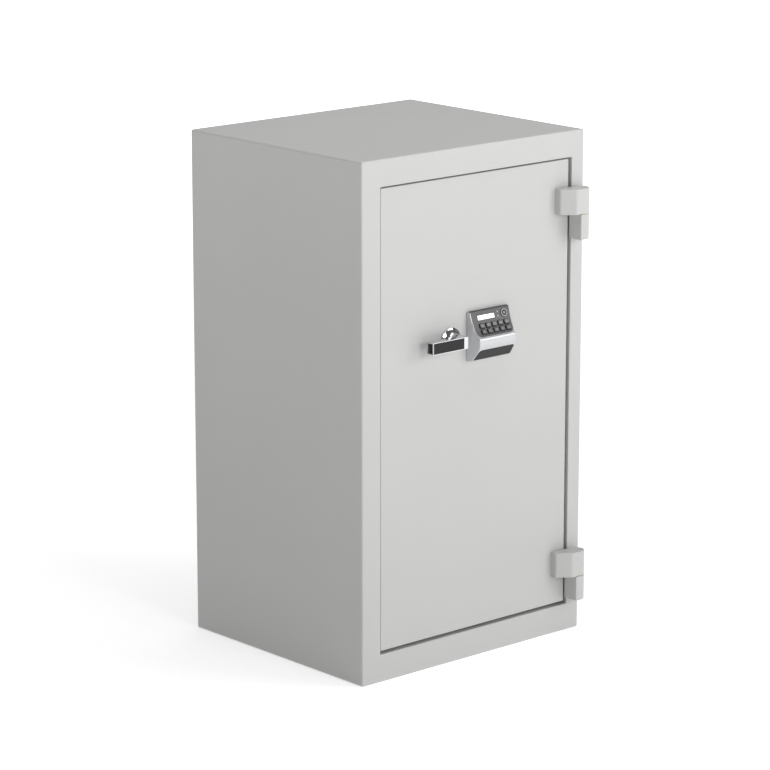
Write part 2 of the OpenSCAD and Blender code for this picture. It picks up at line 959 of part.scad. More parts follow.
module keypad_face() {
    color([0.42, 0.41, 0.43])
        difference() {
            pad_prism(1.9)
                face_strip(0.03, 0.96, -1.9, 0);
            key_places(key_fit);
            on_face(enter_x, enter_t)
                cylinder(r = enter_r + key_fit / 2, h = 8, center = true);
            display_strip(-2.6, 2);
            at_lamps()
                cylinder(r = lamp_r, h = 8, center = true);
        }
}

module display_strip(low, high) {
    extrude_x([display[0], display[1]])
        face_strip(display[2], display[3], low, high);
}

module display_window() {
    color([0.95, 0.97, 0.96])
        display_strip(-1.9, -0.2);
}

module at_lamps() {
    for (t = lamp_t)
        on_face(lamp_x, t)
            children();
}

module indicator_lamps() {
    color([0.7, 0.72, 0.7])
        at_lamps()
            translate([0, 0, -3])
                cylinder(r = lamp_r, h = 3);
}

module circuit_board() {
    depth = 9;
    board_t = 1.6;
    half = 43;
    in = [cos(face_c), -sin(face_c)];
    high = face_top + 0.21 * face_v;
    low = face_top + 0.92 * face_v;
    color([0.1, 0.35, 0.2])
        extrude_x([pad_x - half, pad_x + half])
            polygon([high + depth * in, low + depth * in,
                     low + (depth + board_t) * in, high + (depth + board_t) * in]);
}

module battery_cells() {
    cell_r = 5.25;
    cell_l = 44.5;
    deep = 9.5;
    apart = 0.35;
    u = slope_v / norm(slope_v);
    in = [-u[1], u[0]];
    mid = slope_top + slope_v / 2 + deep * in;
    color([0.2, 0.3, 0.6])
        for (s = [-1, 1], x = [pad_x - cell_l - apart, pad_x + apart])
            let (p = mid + s * (cell_r + apart) * u)
                rod_along_x(cell_r, [x, x + cell_l], p[0], p[1]);
}

module battery_cover() {
    color([0.2, 0.2, 0.21])
        pad_prism(3.8)
            slope_strip(0.08, 0.92, -2, 0);
}

module digit_key(i) {
    color([0.5, 0.49, 0.5])
        on_face(key_mid + (i % 5 - 2) * key_pitch, row_t[floor(i / 5)]) {
            translate([0, 0, -key_depth])
                linear_extrude(height = key_depth + key_out)
                    square(key_size, center = true);
            translate([0, 0, -key_depth - key_flange_t])
                linear_extrude(height = key_flange_t)
                    square(key_size + [1.8, 1.8], center = true);
        }
}

module enter_key() {
    color([0.5, 0.49, 0.5])
        on_face(enter_x, enter_t) {
            translate([0, 0, -key_depth])
                cylinder(r = enter_r, h = key_depth + enter_out);
            translate([0, 0, -key_depth - key_flange_t])
                cylinder(r = enter_r + 1, h = key_flange_t);
        }
}

outer_shell();
back_panel();
front_frame();
wall_filling();
inner_liner();
strike_plates();
frame_seal();
anchor_sleeves();
shelf_strips();
shelf_clips();
shelves();
fixed_hinge_leaves();
hinge_pins();
hinge_washers();
door_skin();
door_filling();
door_box();
boltwork_plate();
door_cover();
cover_screws();
door_hinge_leaves();
dog_bolts();
door_seal();
handle_rose();
spindle_bush();
lock_case();
lock_screws();
lock_cable();
keypad_base();
keypad_housing();
keypad_face();
display_window();
circuit_board();
battery_cells();
indicator_lamps();
guide_pins();
rod_guides();
lever();
lever_insert();
spindle();
pinion();
locking_disc();
bolt_carriage();
side_bolts();
top_rod();
bottom_rod();
lock_bolt();
battery_cover();
enter_key();  // key_enter
for (i = [0:9])
    digit_key(i);
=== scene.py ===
"""Finished surfaces of a free-standing fire-resistant safe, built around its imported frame.

Every shape is worked out in millimetres with numpy and goes into its mesh in metres. X runs to the
hinge side, Y to the back and Z up. Sizes and places come from the frame's own nodes.
"""

import json

import bmesh
import bpy
import numpy as np
from bpy.props import FloatProperty, FloatVectorProperty, PointerProperty
from bpy.types import Operator, Panel, PropertyGroup
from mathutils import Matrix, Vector


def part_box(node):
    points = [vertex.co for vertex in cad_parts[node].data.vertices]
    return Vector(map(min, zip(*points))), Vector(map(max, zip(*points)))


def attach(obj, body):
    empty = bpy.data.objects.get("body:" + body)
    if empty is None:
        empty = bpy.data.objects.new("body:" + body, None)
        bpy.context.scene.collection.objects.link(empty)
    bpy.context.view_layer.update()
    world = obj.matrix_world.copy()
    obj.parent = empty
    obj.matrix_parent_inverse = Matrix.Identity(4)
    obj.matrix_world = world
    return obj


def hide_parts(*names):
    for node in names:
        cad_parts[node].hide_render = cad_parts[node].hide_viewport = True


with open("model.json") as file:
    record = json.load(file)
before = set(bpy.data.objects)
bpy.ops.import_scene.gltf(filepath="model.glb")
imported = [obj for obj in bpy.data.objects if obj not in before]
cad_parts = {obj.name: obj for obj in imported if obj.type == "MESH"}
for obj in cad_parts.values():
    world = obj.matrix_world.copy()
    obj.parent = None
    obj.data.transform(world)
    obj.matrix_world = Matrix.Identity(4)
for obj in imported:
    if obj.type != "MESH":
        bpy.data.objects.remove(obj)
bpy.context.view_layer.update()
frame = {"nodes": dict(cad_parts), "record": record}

bl_info = {
    "name": "Fire-resistant safe",
    "version": (1, 0, 0),
    "blender": (4, 5, 0),
    "location": "View3D > Sidebar > Safe",
    "description": "Builds the finished surfaces of a lever-handled safe around its packed frame",
    "category": "Object",
}


# ---------- places taken from the frame, in millimetres ----------


def size(node):
    """Lowest and highest corner of a CAD node, as a 2 x 3 array."""
    low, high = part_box(node)
    return np.array([low, high]) * 1000


def facing(node, grow=0.0, corner=2.0):
    """Upright rectangle (x0, x1, z0, z1, corner radius) that a node fills, seen from the front."""
    (x0, _, z0), (x1, _, z1) = size(node)
    return np.array([x0 - grow, x1 + grow, z0 - grow, z1 + grow, corner])


FRONT = size("front_frame")[0, 1]
BACK = size("back_panel")[1, 1]
BODY = facing("front_frame", corner=4)
OPENING = facing("frame_seal", 1)
JAMB = facing("strike_plates", -6)
LEDGE = size("frame_seal")[1, 1]
JAMB_END = size("inner_liner")[0, 1]
DOOR = facing("door_skin", corner=1.5)
DOOR_FACE, DOOR_EDGE_END = size("door_skin")[:, 1]
AXIS = size("hinge_pins").mean(0)[:2]
SPINDLE = size("handle_rose").mean(0)[[0, 2]]
CABLE = size("lock_cable").mean(0)[[0, 2]]
BOLTS = size("side_bolts")
BOLT_R = (BOLTS[1, 1] - BOLTS[0, 1]) / 2
BOLT_Z = np.linspace(BOLTS[0, 2] + BOLT_R, BOLTS[1, 2] - BOLT_R, 3)
BOLT_Y = BOLTS[:, 1].mean()

# keypad: middle, top edge, and the face's two ends as (y, z)
PAD = size("keypad_housing")
PAD_X = PAD[:, 0].mean()
PAD_HALF = (PAD[1, 0] - PAD[0, 0]) / 2
PAD_TOP = PAD[1, 2]
PAD_DRAFT = 0.2
FACE_SAG = 3.0
FACE_A = np.array([FRONT - 4.7, PAD_TOP - 0.5])
FACE_B = np.array([FRONT - 27.2, PAD_TOP - 49.1])
SLOPE_A = np.array([FRONT - 28.4, PAD_TOP - 72.9])
SLOPE_B = np.array([FRONT - 11, PAD_TOP - 96.2])
KEY_MID, KEY_PITCH = PAD_X + 3.2, 16.25
KEY_ROWS = (0.56, 0.79)
KEY_CAP = np.array([-6.25, 6.25, -4.75, 4.75, 1.4])
ENTER = (PAD_X + 35.7, 0.215)
LAMP_ROWS = (0.14, 0.29)
DIGITS = (1, 2, 3, 4, 5, 6, 7, 8, 9, 0)


# ---------- shapes as arrays ----------


def rounded(corners, radii, steps=4, closed=True):
    """Path through corners with each corner B rounded: B + a (1 - sin t) + c (1 - cos t).

    t runs over a right angle, a points back along the path and c forward, both as long as the radius.
    """
    b = np.asarray(corners, float)
    s = np.broadcast_to(np.asarray(radii, float), len(b))[:, None].copy()
    if not closed:
        s[[0, -1]] = 0
    back, on = np.roll(b, 1, 0) - b, np.roll(b, -1, 0) - b
    back, on = (d / np.maximum(np.abs(d).max(1, keepdims=True), 1e-9) * s for d in (back, on))
    t = np.linspace(0, np.pi / 2, steps + 1)[None, :, None]
    path = b[:, None] + back[:, None] * (1 - np.sin(t)) + on[:, None] * (1 - np.cos(t))
    return path.reshape(-1, b.shape[1])


def inset(outline, depth):
    """Closed outline moved inwards: every point goes depth along the mean of its two edges' normals."""
    edge = np.roll(outline, -1, 0) - outline
    normal = np.stack([edge[:, 1], -edge[:, 0]], 1)
    normal /= np.maximum(np.linalg.norm(normal, axis=1, keepdims=True), 1e-9)
    before = np.roll(normal, 1, 0)
    mitre = (normal + before) / np.maximum(1 + (normal * before).sum(1, keepdims=True), 0.3)
    return outline - depth * mitre


def row(rect, y, grow=0.0):
    """One ring of a frame shape: the rectangle grown by a distance, at depth y."""
    x0, x1, z0, z1, r = rect
    return [x0 - grow, x1 + grow, z0 - grow, z1 + grow, max(r + grow, 0.05), y]


def frame_rings(rows, steps=6):
    """Rings of rounded rectangles: corner centre + r (cos a, sin a), a over each quarter turn."""
    x0, x1, z0, z1, r, y = np.asarray(rows, float).T[:, :, None]
    turn = np.arange(4)[:, None] * np.pi / 2 + np.linspace(0, np.pi / 2, steps)
    right = np.repeat([1, 0, 0, 1], steps)[None]
    high = np.repeat([1, 1, 0, 0], steps)[None]
    a = turn.reshape(1, -1)
    x = np.where(right, x1 - r, x0 + r) + r * np.cos(a)
    z = np.where(high, z1 - r, z0 + r) + r * np.sin(a)
    return np.stack([x, y + 0 * x, z], 2)


def prism_rings(outline, low, high, edge, steps=3):
    """Outline carried from low to high; at both ends it draws in by edge (1 - sin t)."""
    t = np.linspace(0, np.pi / 2, steps + 1)
    shrink, rise = edge * (1 - np.sin(t)), edge * (1 - np.cos(t))
    levels = np.concatenate([low + rise, (high - rise)[::-1]])
    depth = np.concatenate([shrink, shrink[::-1]])
    mitre = outline - inset(outline, 1.0)
    flat = outline[None] - depth[:, None, None] * mitre[None]
    return np.concatenate([flat, np.broadcast_to(levels[:, None, None], flat.shape[:2] + (1,))], 2)


def lathe_rings(profile, centre, axis="Y", segments=64):
    """Profile of (radius, height) turned about an axis through centre."""
    a = np.linspace(0, 2 * np.pi, segments, endpoint=False)[:, None]
    r, h = np.asarray(profile, float).T[:, None]
    u, v = centre[0] + r * np.cos(a), centre[1] + r * np.sin(a)
    h = h + 0 * a
    order = {"Y": (u, h, v), "X": (h, u, v), "Z": (u, v, h)}[axis]
    return np.stack(order, 2)


def solid_rings(profile, centre=(0, 0), axis="Y", segments=48):
    """Open profile of (radius, height) turned about an axis, with one ring for each of its points."""
    return lathe_rings(profile, centre, axis, segments).swapaxes(0, 1)


def bar(radius, low, high, centre, axis="Y", segments=40):
    """Round bar from low to high along an axis through centre."""
    return loft(solid_rings([(radius, low), (radius, high)], centre, axis, segments))


def loft(rings, closed=False):
    """Points and faces of a skin over rings; open ends are closed with one face each."""
    m, n = rings.shape[:2]
    i = np.arange(m if closed else m - 1)[:, None]
    j = np.arange(n)[None]
    i2, j2 = (i + 1) % m, (j + 1) % n
    quads = np.stack([i * n + j, i * n + j2, i2 * n + j2, i2 * n + j], 2).reshape(-1, 4).tolist()
    caps = [] if closed else [list(range(n))[::-1], list(range((m - 1) * n, m * n))]
    return rings.reshape(-1, 3), quads + caps


def joined(parts):
    """Several (points, faces) shells as one."""
    points, faces, start = [], [], 0
    for p, f in parts:
        points.append(p)
        faces += [[k + start for k in face] for face in f]
        start += len(p)
    return np.concatenate(points), faces


def face_curve(t, out=0.0):
    """Hollow face: the chord from A to B, plus 4 sag t (1 - t) inwards, plus out along the normal."""
    t = np.asarray(t, float)
    chord = FACE_B - FACE_A
    lean = np.arctan2(-chord[0], -chord[1])
    slope = face_slope(t)
    dip = 4 * FACE_SAG * t * (1 - t)
    y = FACE_A[0] + t * chord[0] + dip * np.cos(lean) - out * np.cos(slope)
    z = FACE_A[1] + t * chord[1] - dip * np.sin(lean) + out * np.sin(slope)
    return y, z


def face_slope(t):
    chord = FACE_B - FACE_A
    lean = np.arctan2(-chord[0], -chord[1])
    return lean - np.arctan(4 * FACE_SAG * (1 - 2 * np.asarray(t, float)) / np.linalg.norm(chord))


def lower_slope(t, out=0.0):
    """Flat slope below the band: the line from A to B, plus out along its normal."""
    t = np.asarray(t, float)
    line = SLOPE_B - SLOPE_A
    n = np.array([line[1], -line[0]]) / np.linalg.norm(line)
    return SLOPE_A[0] + t * line[0] + out * n[0], SLOPE_A[1] + t * line[1] + out * n[1]


def half_width(y, margin):
    """Half the keypad's width at depth y, less a margin: it narrows with the draft towards the front."""
    return PAD_HALF - margin - PAD_DRAFT * (DOOR_FACE - y)


def slab_rings(surface, length, span, low, high, half, radii, centre=None, steps=28, across=14):
    """Plate on a surface between two heights, with rounded ends.

    Rows follow t with cosine spacing. Near an end the half width is half - r + sqrt(r^2 - (r - s)^2),
    where s is the distance from that end.
    """
    u = (1 - np.cos(np.linspace(0, np.pi, steps))) / 2
    t = span[0] + (span[1] - span[0]) * u
    s = (t - span[0]) * length, (span[1] - t) * length
    less = sum(r - np.sqrt(np.maximum(r * r - np.maximum(r - d, 0) ** 2, 0)) for r, d in zip(radii, s))
    x = np.linspace(-1, 1, across)
    rings = []
    for height, run in ((high, x), (low, x[::-1])):
        y, z = surface(t, height)
        w = (half(y) if callable(half) else half + 0 * y) - less
        rings.append(np.stack([(PAD_X if centre is None else centre) + w[:, None] * run,
                               y[:, None] + 0 * run, z[:, None] + 0 * run], 2))
    return np.concatenate(rings, 1)


def on_face(rings, x, t):
    """Rings drawn as (x, height out of the face, way up the face) brought to place t of the face."""
    a, (y, z) = face_slope(t), face_curve(t)
    right, out, up = rings[..., 0], rings[..., 1], rings[..., 2]
    return np.stack([x + right, y - out * np.cos(a) + up * np.sin(a),
                     z + out * np.sin(a) + up * np.cos(a)], -1)


def key_places():
    return [(digit, KEY_MID + (k % 5 - 2) * KEY_PITCH, KEY_ROWS[k // 5]) for k, digit in enumerate(DIGITS)]


# ---------- meshes ----------


def object_of(name, shape):
    """Object whose closed mesh has its points merged and its faces turned outwards."""
    points, faces = shape
    mesh = bpy.data.meshes.new(name)
    mesh.from_pydata((points / 1000).tolist(), [], faces)
    bm = bmesh.new()
    bm.from_mesh(mesh)
    bmesh.ops.remove_doubles(bm, verts=bm.verts, dist=2e-7)
    bmesh.ops.recalc_face_normals(bm, faces=bm.faces)
    bm.to_mesh(mesh)
    bm.free()
    obj = bpy.data.objects.new(name, mesh)
    bpy.context.scene.collection.objects.link(obj)
    return obj


def applied(obj):
    """Bakes the modifiers into the mesh."""
    old = obj.data
    deps = bpy.context.evaluated_depsgraph_get()
    mesh = bpy.data.meshes.new_from_object(obj.evaluated_get(deps))
    obj.modifiers.clear()
    obj.data = mesh
    mesh.name = obj.name
    bpy.data.meshes.remove(old)


def combine(obj, shape, operation="DIFFERENCE"):
    """Cuts a shape out of an object, or joins it on."""
    tool = object_of(obj.name + "_tool", shape)
    modifier = obj.modifiers.new("Cut", "BOOLEAN")
    modifier.operation, modifier.solver, modifier.object = operation, "MANIFOLD", tool
    bpy.context.view_layer.update()
    applied(obj)
    bpy.data.objects.remove(tool)


def finished(obj, finish, body, slot, *nodes, edge=0.0, sharp=38):
    """Gives an object its finish and its body and hides the CAD nodes it stands in for, with smooth rounds
    between flat faces.
    """
    mesh = obj.data
    mesh.materials.clear()
    mesh.materials.append(finish)
    mesh.shade_smooth()
    mesh.set_sharp_from_angle(angle=np.radians(sharp))
    if edge:
        bevel = obj.modifiers.new("Edge", "BEVEL")
        bevel.width, bevel.segments, bevel.limit_method = edge / 1000, 2, "ANGLE"
        bevel.angle_limit, bevel.harden_normals = np.radians(sharp), True
    weighted = obj.modifiers.new("Flats", "WEIGHTED_NORMAL")
    weighted.keep_sharp = True
    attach(obj, body)
    if nodes:
        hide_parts(*nodes)
    return obj


def machined(name, node, finish, body, slot, edge):
    """Copy of a CAD node with its flat faces made whole and its edges broken."""
    mesh = frame["nodes"][node].data.copy()
    mesh.name = name
    mesh.materials.clear()
    bm = bmesh.new()
    bm.from_mesh(mesh)
    bmesh.ops.remove_doubles(bm, verts=bm.verts, dist=2e-6)
    bmesh.ops.dissolve_limit(bm, angle_limit=np.radians(0.5), verts=bm.verts, edges=bm.edges)
    bm.to_mesh(mesh)
    bm.free()
    obj = bpy.data.objects.new(name, mesh)
    bpy.context.scene.collection.objects.link(obj)
    return finished(obj, finish, body, slot, node, edge=edge, sharp=30)


# ---------- finishes ----------


class Socket:
    """Output socket that can stand in a Python expression; each operation adds one Math node."""

    def __init__(self, shader, socket):
        self.shader, self.socket = shader, socket

    def _math(self, operation, *values):
        return self.shader.node("ShaderNodeMath", {"operation": operation}, dict(enumerate(values)))

    def __add__(self, other):
        return self._math("ADD", self, other)

    def __sub__(self, other):
        return self._math("SUBTRACT", self, other)

    def __rsub__(self, other):
        return self._math("SUBTRACT", other, self)

    def __mul__(self, other):
        return self._math("MULTIPLY", self, other)

    def __gt__(self, other):
        return self._math("GREATER_THAN", self, other)

    __radd__ = __add__
    __rmul__ = __mul__


class Shader:
    """Material with one Principled shader; node() adds any other node and returns its output."""

    def __init__(self, name, colour, **values):
        self.material = bpy.data.materials.new(name)
        self.material.use_nodes = True
        self.material.diffuse_color = (*colour[:3], 1)
        self.tree = self.material.node_tree
        self.surface = self.tree.nodes["Principled BSDF"]
        self.colour = colour
        self.set(Base_Color=(*colour[:3], 1), **values)
        self.place = self.node("ShaderNodeTexCoord", out="Object")

    def set(self, **values):
        for name, value in values.items():
            self._feed(self.surface.inputs[name.replace("_", " ")], value)

    def _feed(self, target, value):
        if isinstance(value, Socket):
            self.tree.links.new(value.socket, target)
        else:
            target.default_value = value

    def node(self, kind, settings=None, inputs=None, out=0):
        made = self.tree.nodes.new(kind)
        for name, value in (settings or {}).items():
            if name == "stops":
                ramp = made.color_ramp
                while len(ramp.elements) < len(value):
                    ramp.elements.new(0.5)
                for element, (position, colour) in zip(ramp.elements, value):
                    element.position, element.color = position, colour
            else:
                setattr(made, name, value)
        for key, value in (inputs or {}).items():
            self._feed(made.inputs[key], value)
        return Socket(self, made.outputs[out])

    def noise(self, scale, detail=2.0, stretch=(1, 1, 1)):
        """Noise between 0 and 1 on the object's own metres, stretched along its axes."""
        at = self.node("ShaderNodeMapping", None, {"Vector": self.place, "Scale": stretch})
        return self.node("ShaderNodeTexNoise", None, {"Vector": at, "Scale": scale, "Detail": detail})

    def mixed(self, factor, one, two):
        return self.node("ShaderNodeMix", {"data_type": "RGBA"},
                         {0: factor, 6: (*one[:3], 1), 7: (*two[:3], 1)}, out=2)

    def shaded(self, factor, darker):
        """The finish's colour, going to the same colour times darker where factor is 1."""
        return self.mixed(factor, self.colour, np.array(self.colour[:3]) * darker)

    def bump(self, height, distance, strength=1.0):
        return self.node("ShaderNodeBump", None,
                         {"Height": height, "Distance": distance, "Strength": strength})


def powder_coat(name, colour, roughness=0.42):
    """Powder coat: fine orange peel, faint cloudiness in colour and gloss."""
    s = Shader(name, colour, Specular_IOR_Level=0.5)
    peel = s.noise(520, 1.5)
    s.set(Base_Color=s.shaded(s.noise(5, 3), 0.965), Roughness=s.noise(30, 2) * 0.08 + (roughness - 0.04),
          Normal=s.bump(peel, 0.00006, 0.5))
    return s.material


def bright_metal(name, colour, roughness, grain=(1, 1, 1), scale=300, amount=0.05):
    """Plated or ground metal: the roughness wanders along the grain and fine lines dent the gloss."""
    s = Shader(name, colour, Metallic=1.0)
    lines = s.noise(scale, 3, grain)
    s.set(Base_Color=s.shaded(s.noise(25, 2), 0.95), Roughness=lines * amount + (roughness - amount / 2),
          Normal=s.bump(lines, 0.000004, 0.4))
    return s.material


def zinc_plate(name, colour, roughness=0.38):
    """Galvanised sheet: spangles of slightly different grey and gloss, with fine rolling lines."""
    s = Shader(name, colour, Metallic=0.92)
    spangle = s.node("ShaderNodeTexVoronoi", None, {"Vector": s.place, "Scale": 130}, out="Color")
    tone = s.node("ShaderNodeSeparateColor", None, {0: spangle})
    lines = s.noise(700, 2, (1, 1, 0.04))
    s.set(Base_Color=s.shaded(tone, 0.84), Roughness=tone * 0.1 + lines * 0.08 + (roughness - 0.08),
          Normal=s.bump(lines, 0.00001, 0.3))
    return s.material


def moulded(name, colour, roughness, grain=1600, depth=0.00003, darker=0.93, **values):
    """Moulded plastic: spark-eroded grain in the surface and slight cloudiness of the tone."""
    s = Shader(name, colour, **values)
    skin = s.noise(grain, 2)
    s.set(Base_Color=s.shaded(s.noise(60, 3), darker), Roughness=s.noise(140, 2) * 0.1 + (roughness - 0.05),
          Normal=s.bump(skin, depth, 0.6))
    return s.material


def cast_filling(name, colour):
    """Cast fire filling: a chalky face with grit of two sizes and with pores, which are dented and painted
    darker; the darkening in the pores is painted shade.
    """
    s = Shader(name, colour, Roughness=0.95)
    grit = s.noise(90, 6)
    pores = s.node("ShaderNodeTexVoronoi", None, {"Vector": s.place, "Scale": 160})
    pore_dent_and_shade = (pores > 0.22) * -1 + 1
    # The pores darken the colour, which is painted shade in them, and they dent the surface.
    s.set(Base_Color=s.shaded(grit * 0.7 + pore_dent_and_shade * 0.3, 0.78), Normal=s.bump(grit - pore_dent_and_shade, 0.0006, 0.7))
    return s.material


def lit_display(name, colour, glow):
    """Backlit display: an even glow behind a fine grid of cells, with a faint cloudiness."""
    s = Shader(name, colour, Roughness=0.12, Coat_Weight=0.6, Emission_Strength=glow)
    cells = [s.node("ShaderNodeTexWave", {"bands_direction": way, "wave_profile": "SAW"},
                    {"Vector": s.place, "Scale": 210.0}) for way in "XZ"]
    gaps = (cells[0] > 0.86) + (cells[1] > 0.86)
    cloud = s.noise(60, 1)
    s.set(Emission_Color=s.mixed(gaps * 0.35 + cloud * 0.25, colour, np.array(colour[:3]) * 0.8))
    return s.material


def circuit(name, colour):
    """Solder mask: two greens along the copper's runs."""
    s = Shader(name, colour, Roughness=0.3)
    runs = s.node("ShaderNodeTexBrick", {"offset": 0.5},
                  {"Vector": s.place, "Scale": 120.0, "Mortar Size": 0.12})
    lane = s.node("ShaderNodeSeparateColor", None, {0: runs})
    s.set(Base_Color=s.shaded(lane, 0.5), Normal=s.bump(lane, 0.00004, 0.5))
    return s.material


def battery_wrap(name, colour, cap):
    """Shrink wrap with a contrasting band at one end of each cell."""
    s = Shader(name, colour, Roughness=0.28, Coat_Weight=0.3)
    across = s.node("ShaderNodeSeparateXYZ", None, {0: s.place})
    far = s.node("ShaderNodeMath", {"operation": "ABSOLUTE"}, {0: across - PAD_X / 1000})
    band = far > 0.031
    scuff = s.noise(220, 3, (0.2, 1, 1))
    s.set(Base_Color=s.mixed(band, colour, cap), Roughness=scuff * 0.12 + 0.22,
          Normal=s.bump(scuff, 0.00002, 0.4))
    return s.material


FINISHES = {}


def finish(name):
    """The shared material of a finish, made on first use from the panel's colours."""
    if name not in FINISHES:
        c = bpy.context.scene.safe_colours
        steel = (0.62, 0.62, 0.63)
        make = {
            "body_paint": lambda: powder_coat("body_paint", c.paint),
            "front_paint": lambda: powder_coat("front_paint", c.paint),
            "liner_paint": lambda: powder_coat("liner_paint", np.array(c.paint) * 0.97, 0.5),
            "fire_filling": lambda: cast_filling("fire_filling", (0.66, 0.62, 0.52)),
            "zinc_steel": lambda: zinc_plate("zinc_steel", steel),
            "bolt_chrome": lambda: bright_metal(
                "bolt_chrome", (0.78, 0.78, 0.79), 0.2, (1, 0.02, 0.02), 900, 0.1),
            "polished_chrome": lambda: bright_metal("polished_chrome", c.chrome, 0.07),
            "brass": lambda: bright_metal("brass", (0.75, 0.56, 0.25), 0.3, (0.05, 1, 1), 700, 0.12),
            "seal_strip": lambda: moulded("seal_strip", (0.035, 0.034, 0.033), 0.85, 500, 0.0001),
            "black_plastic": lambda: moulded("black_plastic", c.black, 0.42, Specular_IOR_Level=0.3),
            "silver_plastic": lambda: moulded(
                "silver_plastic", c.silver, 0.3, 2600, 0.00001, 0.96, Metallic=0.55),
            "face_plastic": lambda: moulded("face_plastic", c.face, 0.4, 2200, 0.00002),
            "key_body": lambda: moulded("key_body", (0.012, 0.012, 0.013), 0.5),
            "key_top": lambda: moulded("key_top", c.keys, 0.38, 2600, 0.00001, Coat_Weight=0.2),
            "legend": lambda: moulded("legend", c.legend, 0.5, 3000, 0.00001),
            "lever_insert": lambda: moulded(
                "lever_insert", c.insert, 0.36, 1100, 0.00004, Specular_IOR_Level=0.3),
            "display_glass": lambda: lit_display("display_glass", (0.97, 0.99, 1.0), c.glow),
            "lamp_lens": lambda: moulded("lamp_lens", (0.5, 0.52, 0.52), 0.15, 900, 0.00001, Coat_Weight=1.0),
            "lock_zinc": lambda: bright_metal("lock_zinc", (0.45, 0.45, 0.46), 0.5, (1, 1, 1), 180, 0.15),
            "cable_jacket": lambda: moulded("cable_jacket", (0.015, 0.015, 0.015), 0.5, 700, 0.00005),
            "board_green": lambda: circuit("board_green", (0.03, 0.16, 0.07)),
            "battery_wrap": lambda: battery_wrap("battery_wrap", (0.02, 0.05, 0.22), (0.55, 0.38, 0.12)),
        }[name]
        FINISHES[name] = make()
    return FINISHES[name]


# ---------- what a user may change ----------


class SafeSizes(PropertyGroup):
    flange_round: FloatProperty(
        name="Flange edge", description="Round along the front flange's outer edge",
        default=0.0029, min=0.001, max=0.003, unit="LENGTH", precision=4)
    door_round: FloatProperty(
        name="Door edge", description="Round along the door's front edge",
        default=0.0015, min=0.0005, max=0.003, unit="LENGTH", precision=4)
    leaf_round: FloatProperty(
        name="Hinge edge", description="Round along the ends of the hinge leaves",
        default=0.001, min=0.0003, max=0.002, unit="LENGTH", precision=4)
    lever_round: FloatProperty(
        name="Lever edge", description="Round along the lever block's edges",
        default=0.0007, min=0.0003, max=0.0012, unit="LENGTH", precision=4)
    pad_round: FloatProperty(
        name="Keypad edge", description="Round along the keypad's side edges",
        default=0.0014, min=0.0005, max=0.002, unit="LENGTH", precision=4)
    face_corner: FloatProperty(
        name="Keypad face corner", description="Radius of the keypad face's two lower corners",
        default=0.0085, min=0.002, max=0.012, unit="LENGTH", precision=4)
    cover_corner: FloatProperty(
        name="Battery cover corner", description="Radius of the battery cover's two upper corners",
        default=0.006, min=0.001, max=0.009, unit="LENGTH", precision=4)
    key_gap: FloatProperty(
        name="Key gap", description="Gap between a digit key and the keypad's face",
        default=0.0009, min=0.0003, max=0.0012, unit="LENGTH", precision=4)
    digit_height: FloatProperty(
        name="Digit height", description="Size of the digits on the keys",
        default=0.0062, min=0.004, max=0.009, unit="LENGTH", precision=4)


def colour_property(name, description, default):
    return FloatVectorProperty(name=name, description=description, default=default,
                               subtype="COLOR", size=3, min=0, max=1)


class SafeColours(PropertyGroup):
    paint: colour_property("Paint", "Powder coat of the body and the door", (0.486, 0.486, 0.48))
    chrome: colour_property("Chrome", "Plating of the lever and its rose", (0.58, 0.585, 0.6))
    silver: colour_property("Silver plastic", "Keypad housing", (0.52, 0.525, 0.538))
    face: colour_property("Keypad face", "Panel that holds display and keys", (0.088, 0.085, 0.089))
    keys: colour_property("Key tops", "Upper side of the keys", (0.12, 0.117, 0.12))
    legend: colour_property("Digits", "Digits on the keys and rings on the round one", (0.32, 0.32, 0.32))
    black: colour_property("Black plastic", "Battery cover and keypad base", (0.008, 0.008, 0.0088))
    insert: colour_property("Lever insert", "Plastic insert in the lever", (0.007, 0.0067, 0.0074))
    glow: FloatProperty(name="Display glow", description="Strength of the display's backlight",
                        default=0.7, min=0, max=5)


class SafeStage(PropertyGroup):
    key: FloatProperty(name="Key light", description="Softbox in front on the hinge side",
                       default=62, min=0, unit="POWER")
    top: FloatProperty(name="Top light", description="Softbox above the safe",
                       default=72, min=0, unit="POWER")
    front: FloatProperty(name="Front light", description="Softbox straight in front",
                         default=58, min=0, unit="POWER")
    sky: FloatProperty(name="Sky", description="Strength of the surroundings overhead",
                       default=0.17, min=0)
    low: FloatProperty(name="Horizon", description="Strength of the surroundings at the horizon",
                       default=0.13, min=0)
    floor: FloatProperty(name="Floor glow", description="Light given off by the floor round the safe",
                         default=0.46, min=0)
    sweep: FloatProperty(name="Backdrop glow", description="Light given off by the floor far from the safe",
                         default=1.7, min=0)


# ---------- the pieces ----------


class SAFE_OT_case(Operator):
    """Case: rounded rectangles carried from the flange to the back, with the back panel let in"""

    bl_idname = "safe.case"
    bl_label = "Case"

    def execute(self, context):
        start, wall = FRONT + 3, 2.5
        rows = rounded(
            [row(BODY, BACK - 3, -wall), row(BODY, start, -wall), row(BODY, start), row(BODY, BACK),
             row(BODY, BACK, -6), row(BODY, BACK, -13), row(BODY, BACK - 1.4, -14.2),
             row(BODY, BACK - 1.4, -20)],
            [0, 0.2, 0.1, 1.5, 0, 0.5, 0.5, 0], 3, closed=False)
        case = object_of("case", loft(frame_rings(rows)))
        span = size("anchor_sleeves")
        radius = span[1, 1] - 5
        holes = [bar(radius, -5, 20, (x, 0), "Z")
                 for x in (span[0, 0] + radius + 5, span[1, 0] - radius - 5)]
        combine(case, joined(holes))
        finished(case, finish("body_paint"), "body", "body_paint", "outer_shell", "back_panel")
        return {"FINISHED"}


